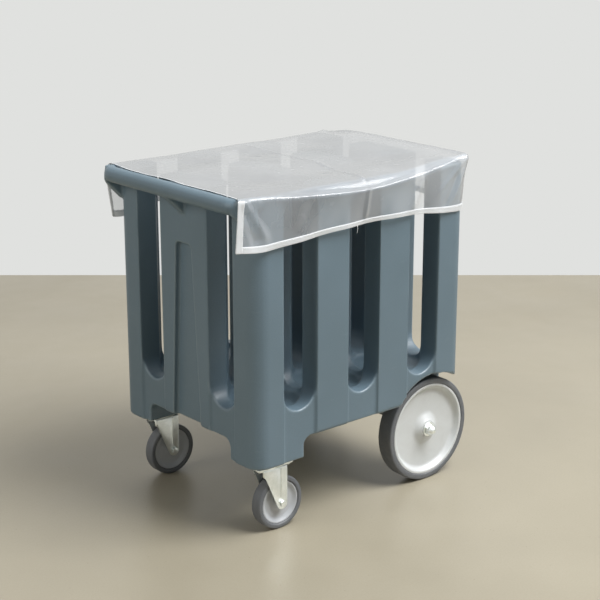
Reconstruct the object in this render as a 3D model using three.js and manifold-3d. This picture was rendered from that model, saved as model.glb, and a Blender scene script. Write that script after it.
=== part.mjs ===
// Dish caddy: a one-piece moulded body with six open columns for stacks of plates, a handle bar
// across one end, two swivel casters under the handle end, two large wheels on a steel axle at the
// other end, and a clear cover with a bound edge.
// Millimetres, +Z up. +X runs from the handle end to the rear wheels, and z = 0 is the floor.
import * as THREE from 'three';
import { mergeVertices } from 'three/addons/utils/BufferGeometryUtils.js';
import Module from 'manifold-3d';

const wasm = await Module();
wasm.setup();

// Driving dimensions. Lengths along X are counted from the body's handle-end face.
const GAP = 0.3; // between pieces that touch
const BODY = { length: 627, width: 504, bottom: 214, top: 768, corner: 36, edge: 7 };
const WELL = { firstX: 124.5, pitchX: 184.5, y: 129.5, radius: 85, floor: 276, fillet: 14 };
const SLOT = { sideWidth: 92, endWidth: 88, sill: 281 };
const PANEL = { depth: 5, overlap: 40 }; // shallow recess below each slot
const PILLAR_RECESS = { top: 628, topHalf: 28, bottomHalf: 52, depth: 14 };
const FOOT = { length: 137, width: 101, bottom: 167, fillet: 20 };
const BAR = { reach: 35, radius: 18, z: 752, bend: 26 };
const GUSSET = { thickness: 22, foot: 694 };
const REAR = { axleX: 541, radius: 127, tyreWidth: 42, inset: 20, rim: 112, archRadius: 144 };
const AXLE = { radius: 9.5, clearance: 0.4, bush: 13 };
const HANGER = { y: 168, thickness: 5, flange: 55, halfLength: 42, eye: 20 };
const CASTER = { x: 62, y: 48, trail: 32, radius: 62.5, tyreWidth: 28, rim: 50 };
const PLATE = { length: 100, width: 80, thickness: 3, boltX: 38, boltY: 28, corner: 8 };
const DISH = { radius: 27, drop: 5, hole: 6.4 }; // pressed down in the middle of the plate
const BOLT = { shank: 4, head: 7.5, headHeight: 5, length: 28 };
const CASTER_BOLT = { radius: 4, head: 8, headHeight: 5, sleeve: 7.5 };
const FORK = { halfWidth: 20, sheet: 3, bend: 7, eye: 14, crown: 153 };
const COVER = { front: -44, ease: 4, sheet: 3, top: 776, hem: 662, binding: 17, bindingSheet: 1.5 };

const HALF_WIDTH = BODY.width / 2;
const WELL_XS = [0, 1, 2].map((i) => WELL.firstX + i * WELL.pitchX);
const SIDES = [{ name: 'right', sign: -1 }, { name: 'left', sign: 1 }];
const WHEEL_SEGMENTS = 36;
const CASTER_SEGMENTS = 24;
// A wheel of straight facets stands on the middle of one, so its axle is this high.
const REAR_AXLE_Z = REAR.radius * Math.cos(Math.PI / WHEEL_SEGMENTS);
const CASTER_AXLE_Z = CASTER.radius * Math.cos(Math.PI / CASTER_SEGMENTS);
// The end of the handle bar's straight run, and the top of the caster plates.
const BAR_STRAIGHT_END = HALF_WIDTH - BAR.radius - BAR.bend;
const PLATE_TOP = FOOT.bottom - GAP;
// The middle of each rear wheel along Y, and half the length of its hub.
const REAR_WHEEL_Y = HALF_WIDTH - REAR.inset - REAR.tyreWidth / 2;
const HUB_HALF = REAR.tyreWidth / 2 - 1;
// The object's middle along X, which becomes x = 0.
const MIDDLE_X = (REAR.axleX + REAR_AXLE_Z - BAR.reach - BAR.radius) / 2;

const material = (color, roughness, metalness = 0) =>
  new THREE.MeshStandardMaterial({ color, roughness, metalness });
const MATERIALS = {
  body: material(0x5f6f78, 0.55),
  cover: material(0xc9ced0, 0.25),
  binding: material(0xe4e8ea, 0.5),
  tyre: material(0x4b4d50, 0.7),
  wheel: material(0xd2d3cf, 0.45),
  zinc: material(0xaeb4b2, 0.35, 1),
  steel: material(0x8f9496, 0.4, 1),
  nylon: material(0xe9e7df, 0.5),
};

// ---------- helpers ----------

// Merges shared vertices and drops triangles that have collapsed, so the surface is closed.
function weld(geometry) {
  const plain = geometry.clone();
  plain.deleteAttribute('normal');
  plain.deleteAttribute('uv');
  const merged = mergeVertices(plain, 1e-4);
  const kept = [];
  const index = merged.index.array;
  for (let i = 0; i < index.length; i += 3) {
    const [a, b, c] = index.slice(i, i + 3);
    if (a !== b && b !== c && c !== a) kept.push(a, b, c);
  }
  merged.setIndex(kept);
  return merged;
}

function toSolid(geometry) {
  const welded = weld(geometry);
  return new wasm.Manifold(new wasm.Mesh({
    numProp: 3,
    vertProperties: new Float32Array(welded.attributes.position.array),
    triVerts: new Uint32Array(welded.index.array),
  }));
}

function toGeometry(solid) {
  const mesh = solid.getMesh();
  const geometry = new THREE.BufferGeometry();
  geometry.setAttribute('position', new THREE.BufferAttribute(mesh.vertProperties, 3));
  geometry.setIndex(new THREE.BufferAttribute(mesh.triVerts, 1));
  return geometry;
}

const join = (...geometries) => geometries.map(toSolid).reduce((a, b) => a.add(b));
const cut = (solid, ...geometries) => geometries.map(toSolid).reduce((a, b) => a.subtract(b), solid);

function node(name, geometry, look, position = [0, 0, 0]) {
  const mesh = new THREE.Mesh(weld(geometry), MATERIALS[look]);
  mesh.name = name;
  mesh.position.set(...position);
  return mesh;
}

function outline(points) {
  return new THREE.Shape(points.map(([u, v]) => new THREE.Vector2(u, v)));
}

function roundedRectangle(u0, v0, u1, v1, radius) {
  const shape = new THREE.Shape();
  shape.absarc(u1 - radius, v0 + radius, radius, -Math.PI / 2, 0);
  shape.absarc(u1 - radius, v1 - radius, radius, 0, Math.PI / 2);
  shape.absarc(u0 + radius, v1 - radius, radius, Math.PI / 2, Math.PI);
  shape.absarc(u0 + radius, v0 + radius, radius, Math.PI, 1.5 * Math.PI);
  return shape;
}

// An outline in X and Y, raised from z0 to z1. With edge, its rims are rounded.
function prismZ(shape, z0, z1, edge = 0, curveSegments = 6) {
  const options = { depth: z1 - z0 - 2 * edge, bevelEnabled: edge > 0, curveSegments };
  Object.assign(options, { bevelThickness: edge, bevelSize: edge, bevelOffset: -edge, bevelSegments: 3 });
  return new THREE.ExtrudeGeometry(shape, options).translate(0, 0, z0 + edge);
}

// An outline in X and Z, carried from y0 to y1.
function prismY(shape, y0, y1, curveSegments = 8) {
  const options = { depth: y1 - y0, bevelEnabled: false, curveSegments };
  return new THREE.ExtrudeGeometry(shape, options).rotateX(Math.PI / 2).translate(0, y1, 0);
}

// An outline in Y and Z, carried from x0 to x1.
function prismX(shape, x0, x1, curveSegments = 8) {
  const options = { depth: x1 - x0, bevelEnabled: false, curveSegments };
  const turn = new THREE.Matrix4().makeBasis(
    new THREE.Vector3(0, 1, 0), new THREE.Vector3(0, 0, 1), new THREE.Vector3(1, 0, 0));
  return new THREE.ExtrudeGeometry(shape, options).applyMatrix4(turn).translate(x0, 0, 0);
}

// A closed profile of [radius, height] points turned about the Y axis or the Z axis.
function turnedY(profile, segments) {
  const points = profile.map(([r, h]) => new THREE.Vector2(r, h));
  const closed = profile[0][0] === 0 ? points : [...points, points[0]];
  return new THREE.LatheGeometry(closed, segments);
}
const turnedZ = (profile, segments) => turnedY(profile, segments).rotateX(Math.PI / 2);

// A tube, or a rod when inner is 0, from h0 to h1 as a profile for turnedY and turnedZ.
const ring = (inner, outer, h0, h1) => [[inner, h0], [outer, h0], [outer, h1], [inner, h1]];

// Points of an arc, for a profile or an outline.
function arc(u, v, radius, from, to, steps) {
  return Array.from({ length: steps + 1 }, (_, i) => {
    const angle = from + ((to - from) * i) / steps;
    return [u + radius * Math.cos(angle), v + radius * Math.sin(angle)];
  });
}

const boxAt = (x0, x1, y0, y1, z0, z1) =>
  new THREE.BoxGeometry(x1 - x0, y1 - y0, z1 - z0)
    .translate((x0 + x1) / 2, (y0 + y1) / 2, (z0 + z1) / 2);

// ---------- body ----------

// The outline of a slot: straight sides up from a half-round sill.
function slotOutline(middle, width) {
  const radius = width / 2;
  const sill = arc(middle, SLOT.sill + radius, radius, Math.PI, 2 * Math.PI, 14);
  return outline([...sill, [middle + radius, BODY.top + 50], [middle - radius, BODY.top + 50]]);
}

function wellCutter(x, y) {
  const fillet = arc(WELL.radius - WELL.fillet, WELL.floor + WELL.fillet, WELL.fillet, -Math.PI / 2, 0, 4);
  const profile = [[0, WELL.floor], ...fillet, [WELL.radius, BODY.top + 50], [0, BODY.top + 50]];
  return turnedZ(profile, 32).translate(x, y, 0);
}

// The columns and the slots that open them to the sides, to the ends and to each other.
function columnCutters() {
  const cutters = [];
  for (const x of WELL_XS) {
    cutters.push(prismY(slotOutline(x, SLOT.sideWidth), -HALF_WIDTH - 10, HALF_WIDTH + 10));
    cutters.push(wellCutter(x, -WELL.y), wellCutter(x, WELL.y));
  }
  for (const { sign } of SIDES) {
    cutters.push(prismX(slotOutline(sign * WELL.y, SLOT.endWidth), -10, BODY.length + 10));
  }
  return cutters;
}

// The shallow recess that runs from each slot down to the lower edge.
function panelCutters() {
  const cutters = [];
  const z0 = BODY.bottom - 60;
  const z1 = SLOT.sill + PANEL.overlap;
  const half = SLOT.sideWidth / 2;
  const endHalf = SLOT.endWidth / 2;
  for (const { sign } of SIDES) {
    const outer = sign * (HALF_WIDTH + 10);
    const inner = sign * (HALF_WIDTH - PANEL.depth);
    for (const x of WELL_XS) {
      cutters.push(boxAt(x - half, x + half, Math.min(inner, outer), Math.max(inner, outer), z0, z1));
    }
    const y = sign * WELL.y;
    cutters.push(boxAt(-10, PANEL.depth, y - endHalf, y + endHalf, z0, z1));
    cutters.push(boxAt(BODY.length - PANEL.depth, BODY.length + 10, y - endHalf, y + endHalf, z0, z1));
  }
  return cutters;
}

// The tapered recess up the middle pillar of each end.
function pillarCutters() {
  const { top, topHalf, bottomHalf, depth } = PILLAR_RECESS;
  const shape = outline([
    [-bottomHalf, BODY.bottom - 10],
    [bottomHalf, BODY.bottom - 10],
    ...arc(topHalf - 10, top - 10, 10, 0, Math.PI / 2, 3),
    ...arc(10 - topHalf, top - 10, 10, Math.PI / 2, Math.PI, 3),
  ]);
  return [prismX(shape, -10, depth), prismX(shape, BODY.length - depth, BODY.length + 10)];
}

// The room for each rear wheel, cut in from the side and open to the rear.
function archCutters() {
  const inner = HALF_WIDTH - REAR.inset - REAR.tyreWidth - 10;
  const outer = HALF_WIDTH + 10;
  return [ring(0, REAR.archRadius, -outer, -inner), ring(0, REAR.archRadius, inner, outer)]
    .map((profile) => turnedY(profile, 64).translate(REAR.axleX, 0, REAR_AXLE_Z));
}

// The foot under the left handle-end corner, with concave corners where it meets the underside.
function foot() {
  const { length, width, bottom, fillet } = FOOT;
  const top = BODY.bottom + 20;
  const plan = roundedRectangle(0, -HALF_WIDTH, BODY.length, HALF_WIDTH, BODY.corner);
  const column = prismZ(plan, bottom, top, 4);
  const side = prismY(outline([
    [-1, bottom - 1], [length, bottom - 1],
    ...arc(length + fillet, BODY.bottom - fillet, fillet, Math.PI, Math.PI / 2, 4),
    [length + fillet, top], [-1, top],
  ]), -HALF_WIDTH - 1, HALF_WIDTH + 1);
  const edge = HALF_WIDTH - width;
  const end = prismX(outline([
    [HALF_WIDTH + 1, bottom - 1], [HALF_WIDTH + 1, top], [edge - fillet, top],
    ...arc(edge - fillet, BODY.bottom - fillet, fillet, Math.PI / 2, 0, 4),
    [edge, bottom - 1],
  ]), -1, BODY.length);
  return toSolid(column).intersect(toSolid(side)).intersect(toSolid(end));
}

// A quarter circle in the XY plane that bends the bar back to the body at one end.
class BarBend extends THREE.Curve {
  constructor(sign) {
    super();
    this.sign = sign;
  }

  getPoint(t, target = new THREE.Vector3()) {
    const angle = (t * Math.PI) / 2;
    const x = BAR.bend * (1 - Math.cos(angle)) - BAR.reach;
    const y = BAR_STRAIGHT_END + BAR.bend * Math.sin(angle);
    return target.set(x, this.sign * y, BAR.z);
  }
}

// The handle bar, its bent ends, and the three gussets that carry it.
function handle() {
  const { reach, radius, z, bend } = BAR;
  const section = outline(arc(0, 0, radius, 0, 2 * Math.PI, 20).slice(1));
  const overlap = 1;
  const straightEnd = BAR_STRAIGHT_END + overlap;
  const bar = turnedY(ring(0, radius, -straightEnd, straightEnd), 20).translate(-reach, 0, z);
  const bends = [-1, 1].map((sign) =>
    new THREE.ExtrudeGeometry(section, { steps: 6, extrudePath: new BarBend(sign) }));
  const stubs = [-1, 1].map((sign) => prismX(section, bend - reach - overlap, BODY.corner)
    .translate(0, sign * (HALF_WIDTH - radius), z));
  const web = outline([
    [PANEL.depth + 3, GUSSET.foot - PANEL.depth - 3],
    [PANEL.depth + 3, z + radius - 4],
    [-reach, z + radius - 1],
    [-reach - radius * Math.SQRT1_2, z - radius * Math.SQRT1_2],
  ]);
  const { thickness } = GUSSET;
  const starts = [-HALF_WIDTH, -thickness / 2, HALF_WIDTH - thickness];
  const webs = join(...starts.map((y) => prismY(web, y, y + thickness)));
  const reachOut = reach + radius;
  const plan = prismZ(
    roundedRectangle(-reachOut, -HALF_WIDTH, BODY.length, HALF_WIDTH, bend + radius), 0, BODY.top);
  return join(bar, ...bends, ...stubs).add(webs.intersect(toSolid(plan)));
}

const boltPlaces = (sign) => [[-1, -1], [-1, 1], [1, -1], [1, 1]].map(([i, j]) => [
  CASTER.x + i * PLATE.boltX,
  sign * (HALF_WIDTH - CASTER.y) + j * PLATE.boltY,
]);
const hangerBoltPlaces = (sign) => [-1, 1].map((i) => [
  REAR.axleX + i * HANGER.halfLength * 0.6,
  sign * (HANGER.y - HANGER.flange / 2),
]);

// Blind holes for the shanks of the caster bolts and the hanger bolts.
function boltHoles() {
  const hole = (x, y, z) => turnedZ(ring(0, BOLT.shank + GAP, z - 5, z + BOLT.length), 10).translate(x, y, 0);
  return SIDES.flatMap(({ sign }) => [
    ...boltPlaces(sign).map(([x, y]) => hole(x, y, FOOT.bottom)),
    ...hangerBoltPlaces(sign).map(([x, y]) => hole(x, y, BODY.bottom)),
  ]);
}

function body() {
  const { length, bottom, top, corner, edge } = BODY;
  const block = prismZ(roundedRectangle(0, -HALF_WIDTH, length, HALF_WIDTH, corner), bottom, top, edge);
  const whole = toSolid(block).add(foot()).add(foot().mirror([0, 1, 0]));
  const open = cut(whole, ...columnCutters(), ...panelCutters(), ...pillarCutters(), ...archCutters());
  return node('body', toGeometry(cut(open.add(handle()), ...boltHoles())), 'body');
}

// ---------- fasteners ----------

// A hex-headed bolt that points up, with its head's top face at z.
function bolt(name, x, y, z, reach) {
  const head = turnedZ(ring(0, BOLT.head, -BOLT.headHeight, 0), 6);
  const shank = turnedZ(ring(0, BOLT.shank, -1, reach), 10);
  return node(name, toGeometry(join(head, shank)), 'zinc', [x, y, z]);
}

// ---------- casters ----------

// The top plate, with the round dish pressed down in its middle for the kingpin's head.
function casterPlate(prefix, x, y, sign) {
  const { length, width, thickness, corner } = PLATE;
  const blank = roundedRectangle(-length / 2, -width / 2, length / 2, width / 2, corner);
  const plate = prismZ(blank, -thickness, 0, 0, 4);
  const { radius, drop, hole } = DISH;
  const dish = turnedZ([
    [hole, -drop - thickness], [radius - 3, -drop - thickness], [radius, -thickness], [radius, -1],
    [radius - thickness, -1], [radius - thickness - 3, -drop], [hole, -drop],
  ], CASTER_SEGMENTS);
  const opening = turnedZ(ring(0, radius - 2.9, -10, 10), CASTER_SEGMENTS);
  const holes = boltPlaces(sign).map(([bx, by]) =>
    turnedZ(ring(0, BOLT.shank + GAP, -10, 10), 10).translate(bx - x, by - y, 0));
  const solid = cut(cut(toSolid(plate), opening).add(toSolid(dish)), ...holes);
  return node(`${prefix}_top_plate`, toGeometry(solid), 'zinc', [x, y, PLATE_TOP]);
}

// The hardened ring that holds the swivel balls between the plate and the fork.
function swivelRace(prefix, x, y) {
  const top = PLATE_TOP - PLATE.thickness - DISH.drop - GAP;
  const bottom = FORK.crown + GAP;
  const profile = [[16, bottom], [26, bottom], [27, bottom + 1.5], [27, top - 1.5], [26, top], [16, top]];
  return node(`${prefix}_swivel_race`, turnedZ(profile, CASTER_SEGMENTS), 'zinc', [x, y, 0]);
}

function kingpin(prefix, x, y) {
  const seat = PLATE_TOP - DISH.drop + GAP;
  const under = FORK.crown - FORK.sheet - GAP;
  const shaft = DISH.hole - 0.4;
  const profile = [
    [0, under - 3], [8, under - 3], [10, under], [shaft, under],
    [shaft, seat], [11, seat], [9, seat + 2.5], [0, seat + 2.5],
  ];
  return node(`${prefix}_kingpin`, turnedZ(profile, 20), 'zinc', [x, y, 0]);
}

// A fork bent from one sheet: a crown under the swivel, and two legs that taper to the axle.
function fork(prefix, x, y) {
  const { halfWidth, sheet, bend, eye, crown } = FORK;
  const low = CASTER_AXLE_Z - eye - 5;
  const channel = outline([
    [-halfWidth, low], [sheet - halfWidth, low],
    ...arc(bend - halfWidth, crown - bend, bend - sheet, Math.PI, Math.PI / 2, 3),
    ...arc(halfWidth - bend, crown - bend, bend - sheet, Math.PI / 2, 0, 3),
    [halfWidth - sheet, low], [halfWidth, low],
    ...arc(halfWidth - bend, crown - bend, bend, 0, Math.PI / 2, 3),
    ...arc(bend - halfWidth, crown - bend, bend, Math.PI / 2, Math.PI, 3),
  ]);
  const sheetMetal = toSolid(prismX(channel, -30, CASTER.trail + eye + 10));
  const side = prismY(outline([
    ...arc(CASTER.trail, CASTER_AXLE_Z, eye, Math.PI * 1.12, Math.PI * 2, 9),
    [CASTER.trail + eye, crown + 1], [-28, crown + 1], [-28, crown - 9], [-14, crown - 22],
  ]), -halfWidth - 1, halfWidth + 1);
  const plan = prismZ(outline([
    ...arc(0, 0, 27, Math.PI / 2, 1.5 * Math.PI, 10),
    [CASTER.trail + eye + 1, -27], [CASTER.trail + eye + 1, 27],
  ]), low - 1, crown + 1);
  const swivelHole = turnedZ(ring(0, DISH.hole, crown - 20, crown + 20), 20);
  const axleHole = turnedY(ring(0, CASTER_BOLT.radius + GAP, -40, 40), 16)
    .translate(CASTER.trail, 0, CASTER_AXLE_Z);
  const beads = [-1, 1].map((sign) => turnedZ(ring(0, 2.6, CASTER_AXLE_Z + eye + 2, crown - bend), 8)
    .translate(CASTER.trail - 4, sign * (halfWidth - 0.6), 0));
  const bent = sheetMetal.intersect(toSolid(side)).intersect(toSolid(plan));
  const solid = cut(beads.map(toSolid).reduce((a, b) => a.add(b), bent), swivelHole, axleHole);
  return node(`${prefix}_fork`, toGeometry(solid), 'zinc', [x, y, 0]);
}

function casterAxle(prefix, x, y) {
  const { radius, head, headHeight } = CASTER_BOLT;
  const seat = FORK.halfWidth + GAP;
  const shank = turnedY(ring(0, radius, -seat - 1, seat + 7), 16);
  const hexHead = turnedY(ring(0, head, -seat - headHeight, -seat), 6);
  const place = [x, y, CASTER_AXLE_Z];
  return [
    node(`${prefix}_axle_bolt`, toGeometry(join(hexHead, shank)), 'zinc', place),
    node(`${prefix}_axle_nut`, hexNut(head, radius + GAP, seat, seat + 6), 'zinc', place),
  ];
}

// A six-sided nut with a round hole, from h0 to h1 along Y.
function hexNut(outer, inner, h0, h1) {
  const blank = toSolid(turnedY(ring(0, outer, h0, h1), 6));
  return toGeometry(cut(blank, turnedY(ring(0, inner, h0 - 1, h1 + 1), 16)));
}

// A wheel's tyre, with rounded shoulders, on a rim of the given radius.
function tyreProfile(outer, inner, width, shoulder) {
  const half = width / 2;
  return [
    [inner, -half + 2],
    [inner + 3, -half],
    ...arc(outer - shoulder, -half + shoulder, shoulder, -Math.PI / 2, 0, 3),
    ...arc(outer - shoulder, half - shoulder, shoulder, 0, Math.PI / 2, 3),
    [inner + 3, half],
    [inner, half - 2],
  ];
}

// A dished wheel centre: a rim lip, a thin web, and a tapered hub.
function coreProfile(rim, bore, half, lip, dish, hubFoot, hubEnd) {
  const face = (side) => [
    [bore, side * half], [hubEnd, side * half], [hubFoot, side * (half - dish)],
    [rim - lip - 4, side * (half - dish)], [rim - lip, side * (half - dish + 5)], [rim - lip, side * half],
    [rim, side * half],
  ];
  return [...face(-1), ...face(1).reverse()];
}

// A wheel turned by this much stands on the middle of a facet.
const halfFacet = (segments) => Math.PI / segments;

function casterWheel(prefix, x, y) {
  const half = CASTER.tyreWidth / 2;
  const place = [x, y, CASTER_AXLE_Z];
  const { radius, sleeve } = CASTER_BOLT;
  const sleeveHalf = FORK.halfWidth - FORK.sheet - GAP;
  const tube = ring(radius + GAP, sleeve, -sleeveHalf, sleeveHalf);
  const turn = halfFacet(CASTER_SEGMENTS);
  const tyre = turnedY(tyreProfile(CASTER.radius, CASTER.rim, CASTER.tyreWidth, 6), CASTER_SEGMENTS);
  const core = turnedY(coreProfile(CASTER.rim - GAP, sleeve + GAP, half - 2, 4, 7, 17, 13), CASTER_SEGMENTS);
  return [
    node(`${prefix}_tyre`, tyre.rotateY(turn), 'tyre', place),
    node(`${prefix}_wheel_core`, core.rotateY(turn), 'wheel', place),
    node(`${prefix}_sleeve`, turnedY(tube, 16), 'steel', place),
  ];
}

function caster({ name, sign }) {
  const prefix = `caster_${name}`;
  const y = sign * (HALF_WIDTH - CASTER.y);
  const boltTop = PLATE_TOP - PLATE.thickness - GAP;
  const reach = PLATE.thickness + GAP + 20;
  return [
    casterPlate(prefix, CASTER.x, y, sign),
    ...boltPlaces(sign).map(([bx, by], i) => bolt(`${prefix}_plate_bolt_${i + 1}`, bx, by, boltTop, reach)),
    swivelRace(prefix, CASTER.x, y),
    kingpin(prefix, CASTER.x, y),
    fork(prefix, CASTER.x, y),
    ...casterAxle(prefix, CASTER.x + CASTER.trail, y),
    ...casterWheel(prefix, CASTER.x + CASTER.trail, y),
  ];
}

// ---------- rear wheels and axle ----------

function rearWheel({ name, sign }) {
  const prefix = `rear_${name}`;
  const place = [REAR.axleX, sign * REAR_WHEEL_Y, REAR_AXLE_Z];
  const turn = halfFacet(WHEEL_SEGMENTS);
  const bore = AXLE.radius + AXLE.clearance;
  const tyre = turnedY(tyreProfile(REAR.radius, REAR.rim, REAR.tyreWidth, 8), WHEEL_SEGMENTS);
  const core = turnedY(coreProfile(REAR.rim - GAP, AXLE.bush + GAP, HUB_HALF, 5, 15, 38, 24), WHEEL_SEGMENTS);
  const bush = (from, to) => turnedY(ring(bore, AXLE.bush, from, to), 24);
  return [
    node(`${prefix}_tyre`, tyre.rotateY(turn), 'tyre', place),
    node(`${prefix}_wheel_core`, core.rotateY(turn), 'wheel', place),
    node(`${prefix}_outer_bush`, sign > 0 ? bush(2, HUB_HALF) : bush(-HUB_HALF, -2), 'nylon', place),
    node(`${prefix}_inner_bush`, sign > 0 ? bush(-HUB_HALF, -2) : bush(2, HUB_HALF), 'nylon', place),
  ];
}

function axle() {
  const half = REAR_WHEEL_Y + HUB_HALF + 10;
  const chamfer = 2;
  const profile = [
    [0, -half], [AXLE.radius - chamfer, -half], [AXLE.radius, chamfer - half],
    [AXLE.radius, half - chamfer], [AXLE.radius - chamfer, half], [0, half],
  ];
  return node('rear_axle', turnedY(profile, 24), 'steel', [REAR.axleX, 0, REAR_AXLE_Z]);
}

// An angle bracket bolted under the body, with an eye for the axle.
function hanger({ name, sign }) {
  const { y, thickness, flange, halfLength, eye } = HANGER;
  const top = BODY.bottom - GAP - REAR_AXLE_Z;
  const plate = prismY(outline([
    [-halfLength, top], ...arc(0, 0, eye, Math.PI, 2 * Math.PI, 10), [halfLength, top],
  ]), y - thickness / 2, y + thickness / 2);
  const shelf = boxAt(-halfLength, halfLength, y - flange, y + thickness / 2, top - thickness, top);
  const axleHole = turnedY(ring(0, AXLE.radius + GAP, 0, 200), 24);
  const holes = hangerBoltPlaces(1).map(([hx, hy]) =>
    turnedZ(ring(0, BOLT.shank + GAP, 0, 200), 10).translate(hx - REAR.axleX, hy, 0));
  const solid = cut(join(plate, shelf), axleHole, ...holes);
  const placed = sign > 0 ? solid : solid.mirror([0, 1, 0]);
  return node(`axle_hanger_${name}`, toGeometry(placed), 'steel', [REAR.axleX, 0, REAR_AXLE_Z]);
}

// The spacer inside each wheel, and the washer and cap outside it.
function axleTrim({ name, sign }) {
  const place = [REAR.axleX, 0, REAR_AXLE_Z];
  const bore = AXLE.radius + GAP;
  const spacer = ring(bore, 14, HANGER.y + HANGER.thickness / 2 + GAP, REAR_WHEEL_Y - HUB_HALF - GAP);
  const hubEnd = REAR_WHEEL_Y + HUB_HALF + GAP;
  const washer = ring(bore, 18, hubEnd, hubEnd + 2.5);
  const seat = hubEnd + 2.5 + GAP;
  const dome = [[0, seat], [12, seat], [12, seat + 7], ...arc(0, seat + 7, 11, 0, Math.PI / 2, 4).slice(1)];
  dome[dome.length - 1][0] = 0;
  const cap = cut(
    join(turnedY(ring(0, 14.5, seat, seat + 6), 6), turnedY(dome, 20)),
    turnedY(ring(0, bore, seat - 5, seat + 9), 20));
  const turned = (geometry) => (sign > 0 ? geometry : geometry.rotateX(Math.PI));
  return [
    node(`rear_${name}_spacer`, turned(turnedY(spacer, 24)), 'zinc', place),
    node(`rear_${name}_washer`, turned(turnedY(washer, 24)), 'zinc', place),
    node(`rear_${name}_cap_nut`, turned(toGeometry(cap)), 'zinc', place),
  ];
}

function rearHardware(side) {
  const { name, sign } = side;
  const z = BODY.bottom - HANGER.thickness - 2 * GAP;
  const bolts = hangerBoltPlaces(sign).map(([x, y], i) =>
    bolt(`hanger_bolt_${name}_${i + 1}`, x, y, z, HANGER.thickness + 20));
  return [hanger(side), ...bolts, ...axleTrim(side), ...rearWheel(side)];
}

// ---------- cover ----------

// A shell over the top, the two sides and the rear, open below and at the handle end.
function coverShell(outset, sheet, z0, z1, front) {
  const half = HALF_WIDTH + COVER.ease + outset;
  const rear = BODY.length + COVER.ease + outset;
  const corner = BODY.corner - 10;
  const outer = roundedRectangle(front - 60, -half, rear, half, corner);
  const inner = roundedRectangle(front - 90, sheet - half, rear - sheet, half - sheet, corner - sheet);
  const shell = cut(toSolid(prismZ(outer, z0, z1, 0, 4)), prismZ(inner, z0 - 1, z1 - sheet, 0, 4));
  return cut(shell, boxAt(front - 100, front, -half - 10, half + 10, z0 - 10, z1 + 10));
}

function cover() {
  const { sheet, top, hem, front } = COVER;
  const shell = coverShell(sheet, sheet, hem, top, front);
  return node('vinyl_cover', toGeometry(shell), 'cover');
}

// The folded tape along the cover's lower edge and up its front edges.
function coverBinding() {
  const { sheet, top, hem, front, binding, bindingSheet } = COVER;
  const outset = sheet + GAP + bindingSheet;
  const band = coverShell(outset, bindingSheet, hem, top - 30, front);
  const half = HALF_WIDTH + COVER.ease + outset;
  const middle = boxAt(front + binding, BODY.length + 40, -half - 5, half + 5, hem + binding, top + 50);
  const roof = boxAt(front - 50, BODY.length + 40, 6 - half, half - 6, hem + binding, top + 50);
  const lid = boxAt(front - 50, BODY.length + 40, -half - 5, half + 5, top - 32, top + 50);
  return node('cover_binding', toGeometry(cut(band, middle, roof, lid)), 'binding');
}

// ---------- the whole object ----------

const caddy = new THREE.Group();
caddy.position.x = -MIDDLE_X;
caddy.add(body(), cover(), coverBinding(), axle());
for (const side of SIDES) {
  caddy.add(...caster(side), ...rearHardware(side));
}

export default caddy;
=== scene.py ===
"""Dish caddy with a clear vinyl cover: fine surfaces, materials, light and camera, in metres, +Z up."""
import math

import bmesh
import bpy
import numpy as np
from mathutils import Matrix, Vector

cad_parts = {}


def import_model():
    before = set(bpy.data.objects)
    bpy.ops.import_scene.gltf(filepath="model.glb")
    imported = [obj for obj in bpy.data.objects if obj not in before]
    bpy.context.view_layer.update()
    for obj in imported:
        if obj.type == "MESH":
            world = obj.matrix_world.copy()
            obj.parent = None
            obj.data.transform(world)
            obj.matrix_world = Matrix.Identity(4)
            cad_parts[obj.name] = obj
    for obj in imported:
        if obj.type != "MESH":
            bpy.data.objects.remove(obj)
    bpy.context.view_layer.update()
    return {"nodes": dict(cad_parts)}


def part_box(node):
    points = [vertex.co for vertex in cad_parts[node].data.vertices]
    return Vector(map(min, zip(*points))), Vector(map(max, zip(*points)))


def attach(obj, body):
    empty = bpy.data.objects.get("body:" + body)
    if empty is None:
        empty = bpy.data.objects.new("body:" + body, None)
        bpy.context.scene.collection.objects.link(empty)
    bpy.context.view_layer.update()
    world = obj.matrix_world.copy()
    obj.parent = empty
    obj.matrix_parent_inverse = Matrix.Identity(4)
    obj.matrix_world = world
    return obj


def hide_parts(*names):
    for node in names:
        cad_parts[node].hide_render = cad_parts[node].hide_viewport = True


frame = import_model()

# Places along X are counted from the body's handle-end face, which lies here.
HANDLE_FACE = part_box("body")[0].x + 0.053
SIDES = (("right", -1), ("left", 1))

COVER = {
    "front": -0.044, "rear": 0.6300, "half": 0.2575, "top": 0.7708, "hem": 0.662,
    "fold": 0.013, "lean": 0.0225, "step": 0.0036, "corner_top": 0.013, "corner_hem": 0.046,
}
BINDING = {"width": 0.0125, "offset": 0.0010, "edge_tape": 0.0024}
STITCH = {"pitch": 0.0042, "length": 0.0030, "radius": 0.00028}
LOOSE_END = {"x": 0.268, "length": 0.022, "stand_off": 0.0030, "sway": 0.0012, "widths": (2.8, 1.6)}
STITCH_ROW = {"depth": 0.003, "stand_off": 0.0001}
TAPE = {"step": 0.003, "front_share": 1.35, "edge_offset": 0.0006, "corner_gap": 0.012}
WELLS = [(x, y) for x in (0.1245, 0.309, 0.4935) for y in (-0.1295, 0.1295)]

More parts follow.
